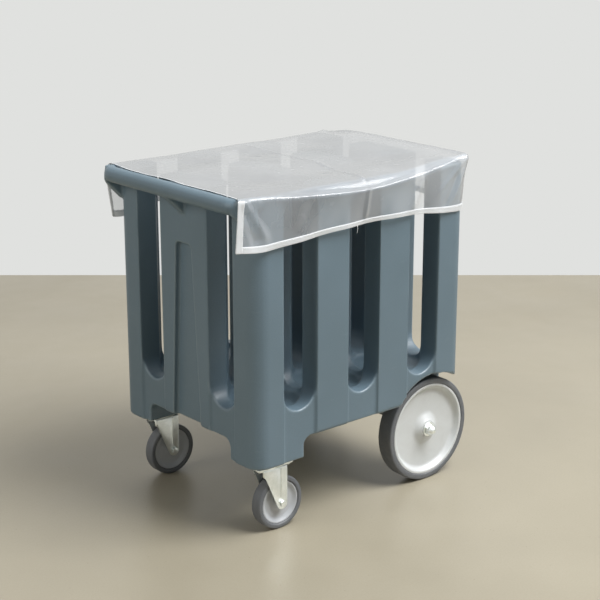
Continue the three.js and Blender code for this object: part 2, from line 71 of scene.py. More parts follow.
# Stations along a side, then the height of the fold and of the hem, and how far each stands out.
NEAR = {
    "at": (-0.044, 0.020, 0.074, 0.197, 0.313, 0.403, 0.480, 0.560, 0.614, 0.633),
    "fold": (0.776, 0.773, 0.768, 0.759, 0.754, 0.760, 0.768, 0.778, 0.786, 0.788),
    "hem": (0.666, 0.658, 0.661, 0.670, 0.6745, 0.6735, 0.669, 0.659, 0.656, 0.657),
    "fold_out": (0.000, 0.004, 0.008, 0.013, 0.015, 0.013, 0.009, 0.004, 0.000, 0.000),
    "hem_out": (0.005, 0.003, 0.002, 0.005, 0.006, 0.005, 0.003, 0.001, 0.000, 0.000),
}
FAR = {
    "at": (-0.044, 0.020, 0.090, 0.190, 0.300, 0.410, 0.500, 0.570, 0.614, 0.633),
    "fold": (0.770, 0.768, 0.764, 0.760, 0.757, 0.759, 0.764, 0.768, 0.7705, 0.771),
    "hem": (0.643, 0.641, 0.655, 0.667, 0.671, 0.667, 0.662, 0.660, 0.661, 0.662),
    "fold_out": (0.001, 0.004, 0.008, 0.010, 0.011, 0.010, 0.008, 0.005, 0.003, 0.002),
    "hem_out": (0.002, 0.003, 0.006, 0.004, 0.002, 0.005, 0.006, 0.003, 0.002, 0.004),
}
REAR = {
    "at": (-0.258, -0.235, -0.180, -0.090, 0.000, 0.090, 0.180, 0.235, 0.258),
    "fold": (0.788, 0.787, 0.786, 0.785, 0.785, 0.785, 0.781, 0.772, 0.771),
    "hem": (0.657, 0.657, 0.661, 0.667, 0.670, 0.667, 0.662, 0.660, 0.662),
    "fold_out": (0.000, 0.003, 0.009, 0.013, 0.014, 0.015, 0.016, 0.010, 0.002),
    "hem_out": (0.000, 0.000, 0.003, 0.006, 0.004, 0.003, 0.005, 0.003, 0.004),
}
# The top stands off the body towards the rear: where it starts to rise, where it is level, and how far.
RISE = (0.40, 0.62, 0.0125)
# How much of that rise is lost towards the far side: from where, over what length, and what share.
FAR_FALL = (0.10, 0.12, 0.85)
SAG = {"depth": 0.0045, "radius": 0.050}
DROP_POWER = 6
# The front edge of the top: how far back it starts, its fullness by the middle, its waves and its far end.
FRONT_EDGE = {
    "back": 0.0150, "hollow": 0.0040, "hollow_at": 0.05, "hollow_width": 0.16,
    "wave": 0.0015, "waves": 9, "far": 0.010, "far_from": 0.55, "fade": 0.12, "power": 14,
}
SKIRT_EDGE = {"near": -0.013, "far": 0.018, "far_low": 0.017}
FLARE = {"height": 0.0022, "along": 47, "across": 39}
# Folds pressed or pulled into the sheet: start, end, half width, height. Lengths in metres.
CREASES = (
    ((0.628, -0.260, 0.775), (0.575, -0.264, 0.682), 0.0065, 0.0032),
    ((0.622, -0.260, 0.779), (0.520, -0.268, 0.706), 0.0065, 0.0024),
    ((0.585, -0.262, 0.735), (0.545, -0.264, 0.672), 0.0060, -0.0020),
    ((0.470, -0.270, 0.745), (0.438, -0.266, 0.684), 0.012, 0.0018),
    ((0.303, -0.270, 0.768), (0.297, -0.266, 0.686), 0.0050, 0.0028),
    ((0.303, -0.262, 0.770), (0.345, -0.040, 0.771), 0.0050, 0.0022),
    ((0.345, -0.040, 0.771), (0.352, 0.225, 0.771), 0.0050, 0.0014),
    ((-0.030, -0.260, 0.765), (0.024, -0.264, 0.682), 0.009, 0.0034),
    ((-0.020, -0.262, 0.735), (-0.004, -0.264, 0.676), 0.013, -0.0040),
    ((0.150, -0.270, 0.748), (0.105, -0.265, 0.672), 0.018, -0.0016),
    ((0.628, 0.258, 0.768), (0.590, 0.262, 0.680), 0.011, 0.0028),
    ((0.420, 0.268, 0.750), (0.400, 0.264, 0.682), 0.012, 0.0018),
    ((0.240, 0.268, 0.750), (0.262, 0.264, 0.680), 0.012, 0.0016),
    ((0.060, 0.264, 0.755), (0.040, 0.262, 0.666), 0.012, 0.0022),
    ((0.640, -0.252, 0.780), (0.642, -0.200, 0.684), 0.012, 0.0028),
    ((0.640, 0.252, 0.772), (0.642, 0.195, 0.688), 0.012, 0.0028),
    ((0.646, 0.060, 0.750), (0.642, 0.082, 0.684), 0.014, 0.0018),
    ((0.020, -0.215, 0.771), (0.230, -0.060, 0.771), 0.020, 0.0007),
    ((0.590, -0.235, 0.783), (0.430, -0.150, 0.774), 0.016, 0.0008),
    ((0.050, 0.210, 0.771), (0.230, 0.100, 0.771), 0.020, 0.0007),
)


# ---------- mesh helpers ----------

def new_object(name, points, faces, smooth=True):
    mesh = bpy.data.meshes.new(name)
    mesh.from_pydata([tuple(map(float, p)) for p in points], [], faces)
    mesh.validate()
    mesh.polygons.foreach_set("use_smooth", [smooth] * len(mesh.polygons))
    mesh.update()
    obj = bpy.data.objects.new(name, mesh)
    bpy.context.scene.collection.objects.link(obj)
    return obj


def apply_modifiers(obj):
    graph = bpy.context.evaluated_depsgraph_get()
    mesh = bpy.data.meshes.new_from_object(obj.evaluated_get(graph))
    obj.modifiers.clear()
    obj.data = mesh
    return obj


def finish_piece(obj, body, look, slot, *nodes):
    obj.data.materials.clear()
    obj.data.materials.append(look)
    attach(obj, body)
    if nodes:
        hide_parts(*nodes)
    return obj


def welded_copy(name, node):
    """A copy of a CAD node with its shared points merged and its flat faces whole."""
    bm = bmesh.new()
    bm.from_mesh(frame["nodes"][node].data)
    bmesh.ops.remove_doubles(bm, verts=bm.verts, dist=1e-6)
    bmesh.ops.dissolve_limit(bm, angle_limit=math.radians(0.5), verts=bm.verts, edges=bm.edges)
    mesh = bpy.data.meshes.new(name)
    bm.to_mesh(mesh)
    bm.free()
    obj = bpy.data.objects.new(name, mesh)
    bpy.context.scene.collection.objects.link(obj)
    return obj


def rounded_loop(points, steps=4):
    """A closed outline of (u, v, radius) points with its corners rounded."""
    out = []
    count = len(points)
    for i, (u, v, radius) in enumerate(points):
        here = Vector((u, v))
        before = Vector(points[i - 1][:2]) - here
        after = Vector(points[(i + 1) % count][:2]) - here
        if radius <= 0:
            out.append((u, v))
            continue
        reach = min(radius, before.length * 0.48, after.length * 0.48)
        a = here + before.normalized() * reach
        b = here + after.normalized() * reach
        for k in range(steps + 1):
            t = k / steps
            p = a * (1 - t) ** 2 + here * 2 * t * (1 - t) + b * t ** 2
            out.append((p.x, p.y))
    return out


def turned(name, outline, centre, segments):
    """A closed outline of (radius, offset) points turned about the Y axis through centre."""
    angles = np.linspace(0, 2 * math.pi, segments, endpoint=False)
    r = np.array([p[0] for p in outline])[:, None]
    h = np.array([p[1] for p in outline])[:, None]
    xs = centre[0] + r * np.cos(angles)
    ys = centre[1] + h + 0 * angles
    zs = centre[2] + r * np.sin(angles)
    points = np.stack([xs, ys, zs], -1).reshape(-1, 3)
    n = len(outline)
    faces = []
    for i in range(n):
        j = (i + 1) % n
        for k in range(segments):
            m = (k + 1) % segments
            faces.append((i * segments + k, i * segments + m, j * segments + m, j * segments + k))
    obj = new_object(name, points, faces)
    bm = bmesh.new()
    bm.from_mesh(obj.data)
    bmesh.ops.recalc_face_normals(bm, faces=bm.faces)
    bm.to_mesh(obj.data)
    bm.free()
    obj.data.set_sharp_from_angle(angle=math.radians(42))
    return obj


# ---------- material helpers ----------

class Nodes:
    """A Principled material and short calls that add nodes to it."""

    def __init__(self, name, **sockets):
        self.material = bpy.data.materials.new(name)
        self.material.use_nodes = True
        self.tree = self.material.node_tree
        self.shader = self.tree.nodes["Principled BSDF"]
        self.coords = self.tree.nodes.new("ShaderNodeTexCoord").outputs["Object"]
        for socket, value in sockets.items():
            self.shader.inputs[socket.replace("_", " ")].default_value = value

    def link(self, source, socket):
        self.tree.links.new(source, self.shader.inputs[socket])

    def add(self, kind, inputs=None, **settings):
        made = self.tree.nodes.new(kind)
        for key, value in settings.items():
            setattr(made, key, value)
        for key, value in (inputs or {}).items():
            if isinstance(value, bpy.types.NodeSocket):
                self.tree.links.new(value, made.inputs[key])
            else:
                made.inputs[key].default_value = value
        return made

    def stretched(self, scale):
        inputs = {"Vector": self.coords, "Scale": scale}
        return self.add("ShaderNodeMapping", inputs).outputs["Vector"]

    def noise(self, scale, detail=3.0, rough=0.55, vector=None, distortion=0.0):
        inputs = {
            "Vector": vector or self.coords, "Scale": scale, "Detail": detail,
            "Roughness": rough, "Distortion": distortion,
        }
        return self.add("ShaderNodeTexNoise", inputs).outputs["Fac"]

    def spots(self, scale):
        inputs = {"Vector": self.coords, "Scale": scale}
        return self.add("ShaderNodeTexVoronoi", inputs).outputs["Distance"]

    def remap(self, value, from_low, from_high, low, high):
        inputs = {
            "Value": value, "From Min": from_low, "From Max": from_high,
            "To Min": low, "To Max": high,
        }
        return self.add("ShaderNodeMapRange", inputs).outputs["Result"]

    def mix(self, factor, a, b):
        made = self.tree.nodes.new("ShaderNodeMix")
        made.data_type = "RGBA"
        for socket, value in ((made.inputs[0], factor), (made.inputs[6], a), (made.inputs[7], b)):
            if isinstance(value, bpy.types.NodeSocket):
                self.tree.links.new(value, socket)
            else:
                socket.default_value = value if isinstance(value, (int, float)) else (*value, 1)
        return made.outputs[2]

    def math(self, operation, a, b):
        made = self.tree.nodes.new("ShaderNodeMath")
        made.operation = operation
        for socket, value in ((made.inputs[0], a), (made.inputs[1], b)):
            if isinstance(value, bpy.types.NodeSocket):
                self.tree.links.new(value, socket)
            else:
                socket.default_value = value
        return made.outputs[0]

    def bump(self, height, strength, distance, normal=None):
        inputs = {"Height": height, "Strength": strength, "Distance": distance}
        if normal is not None:
            inputs["Normal"] = normal
        return self.add("ShaderNodeBump", inputs).outputs["Normal"]


def linear(red, green, blue):
    """A display colour, 0 to 255, as scene light."""
    def one(c):
        c /= 255
        return c / 12.92 if c <= 0.04045 else ((c + 0.055) / 1.055) ** 2.4
    return one(red), one(green), one(blue)


# ---------- materials ----------

def moulded_body():
    """Slate polyethylene: a fine pebble, slow colour drift, faint scuffs, and edges painted paler as a
    highlight.
    """
    m = Nodes("body_polyethylene", Roughness=0.5, Specular_IOR_Level=0.5)
    drift = m.noise(3.2, 3)
    colour = m.mix(m.remap(drift, 0.35, 0.65, 0, 1), linear(98, 117, 128), linear(105, 124, 136))
    grain = m.noise(520, 2)
    colour = m.mix(m.remap(grain, 0.35, 0.7, 0, 0.35), colour, linear(89, 107, 118))
    # Convex edges are mixed towards a paler colour: a painted highlight for edges that catch the light.
    point = m.add("ShaderNodeNewGeometry").outputs["Pointiness"]
    edge = m.remap(point, 0.512, 0.58, 0, 0.75)
    colour = m.mix(edge, colour, linear(146, 160, 167))
    streaks = m.noise(14, 5, 0.7, m.stretched((1.0, 1.0, 6.0)))
    colour = m.mix(m.remap(streaks, 0.62, 0.78, 0, 0.22), colour, linear(128, 143, 150))
    m.link(colour, "Base Color")
    m.link(m.remap(m.noise(26, 4), 0.3, 0.7, 0.36, 0.48), "Roughness")
    wave = m.bump(m.noise(9, 1), 0.25, 0.004)
    m.link(m.bump(m.noise(800, 2, 0.6), 0.32, 0.0005, wave), "Normal")
    return m.material


def clear_vinyl():
    """Milky see-through sheet: hazier seen along it, and light spreads on through its sides. Its colour is
    painted darker where seen along it, as on the top, and paler where seen face-on, as on the sides:
    painted shade and painted light.
    """
    m = Nodes("cover_vinyl", Roughness=0.2, IOR=1.52, Coat_Weight=0.6, Coat_Roughness=0.10)
    haze = m.noise(6, 3, 0.5)
    facing = m.add("ShaderNodeLayerWeight", {"Blend": 0.5}).outputs["Facing"]
    # Base colour by facing: paler where the sheet is seen face-on, as on its sides, and darker where seen
    # along it, as on its top. This is painted light and painted shade that even out how much light each
    # part gets.
    colour = m.mix(m.remap(facing, 0.3, 0.7, 0, 1), linear(216, 221, 227), linear(165, 166, 167))
    colour = m.mix(m.remap(haze, 0.3, 0.7, 0.12, 0), colour, linear(150, 154, 156))
    m.link(colour, "Base Color")
    film = m.remap(facing, 0.25, 0.70, 0.36, 0.86)
    seen = m.math("MULTIPLY", film, m.remap(haze, 0.3, 0.7, 0.95, 1.05))
    slope = m.add("ShaderNodeSeparateXYZ", {0: m.add("ShaderNodeNewGeometry").outputs["Normal"]})
    stopped = m.remap(m.math("ABSOLUTE", slope.outputs["Z"], 0.0), 0.3, 0.9, 0.26, 0.84)
    to_lamp = m.add("ShaderNodeLightPath").outputs["Is Shadow Ray"]
    m.link(m.add("ShaderNodeMix", {0: to_lamp, 2: seen, 3: stopped}).outputs[0], "Alpha")
    m.link(m.remap(m.noise(40, 3), 0.3, 0.7, 0.16, 0.28), "Roughness")
    m.link(m.bump(m.noise(12, 2, 0.5), 0.12, 0.003), "Normal")
    return m.material


def tape():
    """White vinyl tape with fine ribs across its weave."""
    m = Nodes("binding_tape", Roughness=0.42)
    soil = m.noise(22, 4)
    colour = m.mix(m.remap(soil, 0.4, 0.75, 0, 0.6), linear(246, 248, 250), linear(236, 239, 242))
    m.link(colour, "Base Color")
    m.link(m.remap(m.noise(60, 3), 0.3, 0.7, 0.34, 0.52), "Roughness")
    ribs = m.noise(900, 1, 0.5, m.stretched((1.0, 1.0, 0.3)))
    m.link(m.bump(ribs, 0.35, 0.0004, m.bump(m.noise(90, 2), 0.3, 0.0012)), "Normal")
    m.link(m.remap(soil, 0.3, 0.7, 0.56, 0.66), "Alpha")
    return m.material


def thread():
    """Twisted white polyester thread."""
    m = Nodes("binding_thread", Roughness=0.6, Sheen_Weight=0.2)
    fibre = m.noise(2400, 2)
    colour = m.mix(m.remap(fibre, 0.3, 0.7, 0, 1), linear(244, 246, 246), linear(228, 231, 232))
    m.link(colour, "Base Color")
    m.link(m.bump(fibre, 0.3, 0.0002), "Normal")
    return m.material


def rubber():
    """Grey rubber with a fine mould texture and floor dust rubbed into the tread."""
    m = Nodes("tyre_rubber", Roughness=0.62)
    dust = m.noise(30, 5, 0.65)
    colour = m.mix(m.remap(dust, 0.45, 0.8, 0, 0.7), linear(100, 103, 107), linear(122, 122, 120))
    fine = m.noise(700, 2)
    colour = m.mix(m.remap(fine, 0.4, 0.7, 0, 0.3), colour, linear(84, 87, 92))
    m.link(colour, "Base Color")
    m.link(m.remap(m.noise(45, 4), 0.3, 0.7, 0.5, 0.7), "Roughness")
    m.link(m.bump(fine, 0.3, 0.0004, m.bump(m.noise(160, 3), 0.2, 0.0006)), "Normal")
    return m.material


def wheel_plastic(name, pale, dull):
    """Off-white polypropylene with faint flow marks, dulled a little by handling."""
    m = Nodes(name, Roughness=0.4)
    flow = m.noise(13, 5, 0.6, distortion=1.5)
    colour = m.mix(m.remap(flow, 0.35, 0.75, 0, 0.8), linear(*pale), linear(*dull))
    specks = m.spots(120)
    colour = m.mix(m.remap(specks, 0.02, 0.06, 0.25, 0), colour, linear(150, 146, 136))
    m.link(colour, "Base Color")
    m.link(m.remap(m.noise(30, 4), 0.3, 0.7, 0.32, 0.5), "Roughness")
    m.link(m.bump(m.noise(380, 2), 0.18, 0.0004, m.bump(m.noise(24, 2), 0.2, 0.001)), "Normal")
    return m.material


def zinc_plate():
    """Bright zinc plating: pale metal, cloudy gloss, fine brushed grain and dull spots."""
    m = Nodes("zinc_plating", Metallic=1.0, Roughness=0.3)
    cloud = m.noise(60, 5, 0.6)
    colour = m.mix(m.remap(cloud, 0.3, 0.7, 0, 1), linear(240, 244, 243), linear(222, 228, 226))
    m.link(colour, "Base Color")
    m.link(m.remap(m.noise(140, 4), 0.3, 0.7, 0.28, 0.46), "Roughness")
    grain = m.noise(900, 2, 0.5, m.stretched((1.0, 1.0, 0.15)))
    m.link(m.bump(grain, 0.12, 0.0003), "Normal")
    return m.material


def axle_steel():
    """Plain drawn steel, darker than zinc, with a lengthwise grain and faint stains."""
    m = Nodes("axle_steel", Metallic=1.0, Roughness=0.38)
    stain = m.noise(36, 5, 0.65)
    colour = m.mix(m.remap(stain, 0.4, 0.75, 0, 1), linear(176, 180, 182), linear(138, 138, 134))
    m.link(colour, "Base Color")
    m.link(m.remap(m.noise(120, 4), 0.3, 0.7, 0.3, 0.5), "Roughness")
    grain = m.noise(700, 2, 0.5, m.stretched((1.0, 0.08, 1.0)))
    m.link(m.bump(grain, 0.2, 0.0003), "Normal")
    return m.material


def nylon():
    """Natural nylon of the bushes: creamy, a little waxy."""
    m = Nodes("bush_nylon", Roughness=0.38, Subsurface_Weight=0.1, Subsurface_Scale=0.004)
    tone = m.noise(80, 4)
    colour = m.mix(m.remap(tone, 0.35, 0.7, 0, 1), linear(232, 229, 216), linear(214, 210, 194))
    m.link(colour, "Base Color")
    m.link(m.bump(m.noise(420, 2), 0.2, 0.0003), "Normal")
    return m.material


def concrete_floor():
    """Sealed beige floor: broad cloudy tone, fine grit, a soft sheen."""
    m = Nodes("sealed_floor", Roughness=0.4)
    cloud = m.noise(1.3, 5, 0.55)
    colour = m.mix(m.remap(cloud, 0.35, 0.65, 0, 1), linear(157, 149, 130), linear(166, 158, 139))
    grit = m.noise(240, 3)
    colour = m.mix(m.remap(grit, 0.4, 0.75, 0, 0.25), colour, linear(142, 134, 116))
    specks = m.remap(m.spots(38), 0.03, 0.06, 0.45, 0)
    colour = m.mix(specks, colour, linear(112, 102, 84))
    m.link(colour, "Base Color")
    m.link(m.remap(m.noise(5, 4), 0.3, 0.7, 0.30, 0.42), "Roughness")
    m.link(m.bump(m.noise(90, 3), 0.05, 0.001), "Normal")
    return m.material


# ---------- body ----------

BODY_MESH = {"voxel": 0.0030, "smoothing": 0.5, "passes": 3, "kept": 0.25}


def body_skin(look):
    """The moulded body with every edge rounded as a hollow moulding's are."""
    obj = welded_copy("body_skin", "body")
    grid = obj.modifiers.new("grid", "REMESH")
    grid.mode = "VOXEL"
    grid.voxel_size = BODY_MESH["voxel"]
    soften = obj.modifiers.new("soften", "SMOOTH")
    soften.factor = BODY_MESH["smoothing"]
    soften.iterations = BODY_MESH["passes"]
    thin = obj.modifiers.new("thin", "DECIMATE")
    thin.ratio = BODY_MESH["kept"]
    apply_modifiers(obj)
    obj.data.polygons.foreach_set("use_smooth", [True] * len(obj.data.polygons))
    return finish_piece(obj, "chassis", look, "body", "body")


# ---------- cover ----------

def smooth_step(t):
    t = np.clip(t, 0, 1)
    return t * t * (3 - 2 * t)


def curve_through(x, stations, values):
    """A smooth curve (cubic between neighbours) through values given at the stations."""
    s = np.array(stations)
    v = np.array(values)
    slope = np.gradient(v, s)
    i = np.clip(np.searchsorted(s, x) - 1, 0, len(s) - 2)
    span = s[i + 1] - s[i]
    t = np.clip((x - s[i]) / span, 0, 1)
    a = (2 * t ** 3 - 3 * t ** 2 + 1) * v[i] + (t ** 3 - 2 * t ** 2 + t) * span * slope[i]
    return a + (3 * t ** 2 - 2 * t ** 3) * v[i + 1] + (t ** 3 - t ** 2) * span * slope[i + 1]


def ripples(points):
    """Slow unevenness of a sheet that has been folded, the same on every run."""
    rng = np.random.default_rng(11)
    total = np.zeros(len(points))
    for count, wave, height in ((7, 0.17, 0.00030), (10, 0.070, 0.00010)):
        for _ in range(count):
            direction = rng.normal(size=3)
            direction /= np.linalg.norm(direction)
            length = wave * rng.uniform(0.7, 1.5)
            total += height * np.sin(2 * math.pi * points @ direction / length + rng.uniform(0, 6.28))
    return total


def creases(points):
    total = np.zeros(len(points))
    for start, end, width, height in CREASES:
        a = np.array(start)
        along = np.array(end) - a
        t = np.clip((points - a) @ along / (along @ along), 0, 1)
        gap = np.linalg.norm(points - (a + t[:, None] * along), axis=1)
        taper = smooth_step(np.minimum(t + 0.25, 1.12 - t) / 0.25)
        total += height * taper * np.exp(-(gap / width) ** 2)
    return total


def boxed(x, y, z):
    """Points of a flat-sided box once its rear corners and upper edge are rounded, and their normals."""
    half, rear, top, hem, fold = (COVER[key] for key in ("half", "rear", "top", "hem", "fold"))
    t = np.clip((z - hem) / (top - hem), 0, 1)
    radius = COVER["corner_hem"] * (1 - t) + COVER["corner_top"] * t
    hand = np.where(y < 0, -1.0, 1.0)
    dx, dy = x - (rear - radius), np.abs(y) - (half - radius)
    cornered = (dx > 0) & (dy > 0)
    length = np.maximum(np.hypot(dx, dy), 1e-9)
    square = np.maximum(dx, dy)
    inset = np.where(cornered, radius - square, np.minimum(rear - x, half - np.abs(y)))
    rearmost = rear - x < half - np.abs(y)
    out_x = np.where(cornered, dx / length, np.where(rearmost, 1.0, 0.0))
    out_y = np.where(cornered, hand * dy / length, np.where(rearmost, 0.0, hand))
    x = np.where(cornered, rear - radius + dx * square / length, x)
    y = np.where(cornered, hand * (half - radius + dy * square / length), y)
    flat, rise = np.maximum(fold - inset, 0), np.maximum(z - (top - fold), 0)
    scale = fold / np.maximum(np.hypot(flat, rise), 1e-9)
    pull = 1 - scale
    points = np.stack([x - out_x * flat * pull, y - out_y * flat * pull, z - rise * pull], -1)
    normal = np.stack([out_x * flat * scale, out_y * flat * scale, rise * scale], -1) / fold
    return points, normal


def front_edge(across):
    """How far the top's front edge lies back from the sheet's, by share of the half width."""
    shape = FRONT_EDGE
    hollow = np.exp(-((across - shape["hollow_at"]) / shape["hollow_width"]) ** 2)
    edge = shape["back"] + shape["hollow"] * hollow + shape["wave"] * np.sin(across * shape["waves"])
    edge = edge + shape["far"] * smooth_step((across - shape["far_from"]) / (1 - shape["far_from"]))
    return edge * smooth_step((1 + across) / shape["fade"])


def drape(box_points):
    """Where points of a flat-sided open box lie once it is the draped cover."""
    p, normal = boxed(*np.array(box_points, float).T)
    x, y, z = p.T
    half, rear, top, hem = COVER["half"], COVER["rear"], COVER["top"], COVER["hem"]
    fold, lean, front = COVER["fold"], COVER["lean"], COVER["front"]
    t = np.clip((z - hem) / (top - hem), 0, 1)
    reach = {
        "near": np.clip((-y - (half - fold - lean)) / lean, 0, 1),
        "far": np.clip((y - (half - fold - lean)) / lean, 0, 1),
        "rear": np.clip((x - (rear - fold - lean)) / lean, 0, 1),
    }

    def side(shape, at):
        height = (curve_through(at, shape["at"], shape["hem"]) - hem) * (1 - t)
        height = height + (curve_through(at, shape["at"], shape["fold"]) - top) * t
        out = curve_through(at, shape["at"], shape["hem_out"]) * (1 - t)
        out = out + curve_through(at, shape["at"], shape["fold_out"]) * t
        return height, out

    drop = {key: reach[key] ** DROP_POWER for key in reach}
    spread = {key: smooth_step(reach[key]) for key in reach}
    near_height, near_out = side(NEAR, x)
    far_height, far_out = side(FAR, x)
    rear_height, rear_out = side(REAR, y)
    near_corner = side(NEAR, np.full_like(x, rear))[0]
    far_corner = side(FAR, np.full_like(x, rear))[0]
    z = z + near_height * drop["near"] + far_height * drop["far"] + rear_height * drop["rear"]
    z = z - drop["rear"] * (drop["near"] * near_corner + drop["far"] * far_corner)
    sag = np.zeros_like(x)
    for wx, wy in WELLS:
        sag += SAG["depth"] * np.exp(-((x - wx) ** 2 + (y - wy) ** 2) / SAG["radius"] ** 2)
    on_top = np.clip(normal[:, 2], 0, 1)
    start_rise, end_rise, rise = RISE
    fall_from, fall_over, fall_share = FAR_FALL
    edges = (1 - drop["near"]) * (1 - drop["far"]) * (1 - drop["rear"])
    edges = edges * (1 - fall_share * smooth_step((y - fall_from) / fall_over))
    risen = rise * smooth_step((x - start_rise) / (end_rise - start_rise)) * on_top * edges
    z = z - sag * on_top + risen
    y = y - near_out * spread["near"] + far_out * spread["far"]
    start = (1 - np.clip((x - front) / (rear - front), 0, 1)) ** FRONT_EDGE["power"]
    edge = front_edge(np.clip(y / half, -1, 1))
    on_skirt = 1 - on_top
    far_edge = SKIRT_EDGE["far"] + SKIRT_EDGE["far_low"] * (1 - t)
    skirt_edge = np.where(y < 0, SKIRT_EDGE["near"] * (1 - t), far_edge)
    x = x + rear_out * spread["rear"] + start * (edge * on_top + skirt_edge * on_skirt)
    p = np.stack([x, y, z], -1)
    lift = creases(p) + ripples(p) * (0.6 + 0.9 * on_skirt)
    waves = np.sin(x * FLARE["along"] + y * FLARE["across"])
    flare = FLARE["height"] * on_skirt * (1 - t) ** 2 * waves
    return p + normal * (lift + flare)[:, None]


def in_row_frame(points):
    return np.array(points) + (HANDLE_FACE, 0, 0)


def lattice(low, high, step):
    return np.linspace(low, high, int(round((high - low) / step)) + 1)


def cover_sheet(look):
    """One continuous sheet: a top, two sides and a rear, boxed at the rear corners."""
    xs = lattice(COVER["front"], COVER["rear"], COVER["step"])
    ys = lattice(-COVER["half"], COVER["half"], COVER["step"])
    zs = lattice(COVER["hem"], COVER["top"], COVER["step"])
    nx, ny, nz = len(xs) - 1, len(ys) - 1, len(zs) - 1
    index, points, faces = {}, [], []

    def at(i, j, k):
        if (i, j, k) not in index:
            index[i, j, k] = len(points)
            points.append((xs[i], ys[j], zs[k]))
        return index[i, j, k]

    for i in range(nx):
        for j in range(ny):
            faces.append((at(i, j, nz), at(i + 1, j, nz), at(i + 1, j + 1, nz), at(i, j + 1, nz)))
    for i in range(nx):
        for k in range(nz):
            faces.append((at(i, 0, k), at(i + 1, 0, k), at(i + 1, 0, k + 1), at(i, 0, k + 1)))
            faces.append((at(i, ny, k), at(i, ny, k + 1), at(i + 1, ny, k + 1), at(i + 1, ny, k)))
    for j in range(ny):
        for k in range(nz):
            faces.append((at(nx, j, k), at(nx, j + 1, k), at(nx, j + 1, k + 1), at(nx, j, k + 1)))
    obj = new_object("cover_sheet", in_row_frame(drape(points)), faces)
    return finish_piece(obj, "cover", look, "cover", "vinyl_cover")


def hem_path(height, step):
    """Box points once round the hem at a height, from the near front corner to the far one."""
    front, rear, half = COVER["front"], COVER["rear"], COVER["half"]
    near = [(x, -half, height) for x in lattice(front, rear, step)]
    back = [(rear, y, height) for y in lattice(-half, half, step)[1:-1]]
    far = [(x, half, height) for x in lattice(front, rear, step)[::-1]]
    return near + back + far


def outward(rows):
    """Unit normals of a grid of points, rows by columns."""
    along = np.gradient(rows, axis=1)
    up = np.gradient(rows, axis=0)
    normal = np.cross(along, up)
    return normal / np.maximum(np.linalg.norm(normal, axis=2), 1e-12)[..., None]


def folded_tape(name, rows, offset):
    """Tape folded over an edge. The first row is the edge, and rows run inwards from it."""
    normal = outward(rows)
    outer = rows + normal * offset
    inner = rows - normal * offset
    inwards = rows[1] - rows[0]
    inwards /= np.linalg.norm(inwards, axis=1)[:, None]
    turn = []
    for angle in np.linspace(-math.pi / 2, math.pi / 2, 5)[1:-1]:
        away = inwards * offset * math.cos(angle)
        turn.append(rows[0] - away + normal[0] * offset * math.sin(angle))
    rim = rows[-1] + (rows[-1] - rows[-2]) * 0.1
    section = [rim, *inner[::-1], *turn, *outer, rim]
    count = rows.shape[1]
    faces = []
    for a in range(len(section) - 1):
        for b in range(count - 1):
            here, there = a * count + b, (a + 1) * count + b
            faces.append((here, here + 1, there + 1, there))
    return new_object(name, in_row_frame(np.concatenate(section)), faces)


def tape_rows(paths):
    return np.array([drape(path) for path in paths])


def strand(points, faces, spine, widths, sides=6):
    """Adds a round thread along a spine of points, as thick at each as its width says."""
    along = spine[-1] - spine[0]
    along /= np.linalg.norm(along)
    side = np.cross(along, (0.31, 0.47, 0.83))
    side /= np.linalg.norm(side)
    other = np.cross(along, side)
    base = len(points)
    for centre, width in zip(spine, widths):
        for k in range(sides):
            angle = 2 * math.pi * k / sides
            points.append(centre + (side * math.cos(angle) + other * math.sin(angle)) * width)
    for a in range(len(spine) - 1):
        for k in range(sides):
            m = (k + 1) % sides
            row, up = base + a * sides, base + (a + 1) * sides
            faces.append((row + k, row + m, up + m, up + k))


def stitches(name, lines):
    """Rows of short thread stitches that stand just proud of the tape, and one loose end."""
    points, faces = [], []
    thick = STITCH["radius"]
    for line in lines:
        gaps = np.linalg.norm(np.diff(line, axis=0), axis=1)
        run = np.concatenate([[0], np.cumsum(gaps)])
        for start in np.arange(0.002, run[-1] - STITCH["length"], STITCH["pitch"]):
            at = np.linspace(start, start + STITCH["length"], 4)
            spine = np.stack([np.interp(at, run, line[:, i]) for i in range(3)], -1)
            strand(points, faces, spine, (0.35 * thick, thick, thick, 0.35 * thick))
    near = lines[0][lines[0][:, 1] < 0]
    top = near[np.argmin(np.abs(near[:, 0] - LOOSE_END["x"]))]
    down = np.linspace(0, 1, 8)
    sway = LOOSE_END["sway"] * np.sin(down * 3)
    ys = top[1] - LOOSE_END["stand_off"] - sway
    fall = np.stack([top[0] + sway, ys, top[2] - down * LOOSE_END["length"]], -1)
    strand(points, faces, fall, np.linspace(*LOOSE_END["widths"], len(down)) * thick)
    return new_object(name, in_row_frame(points), faces)


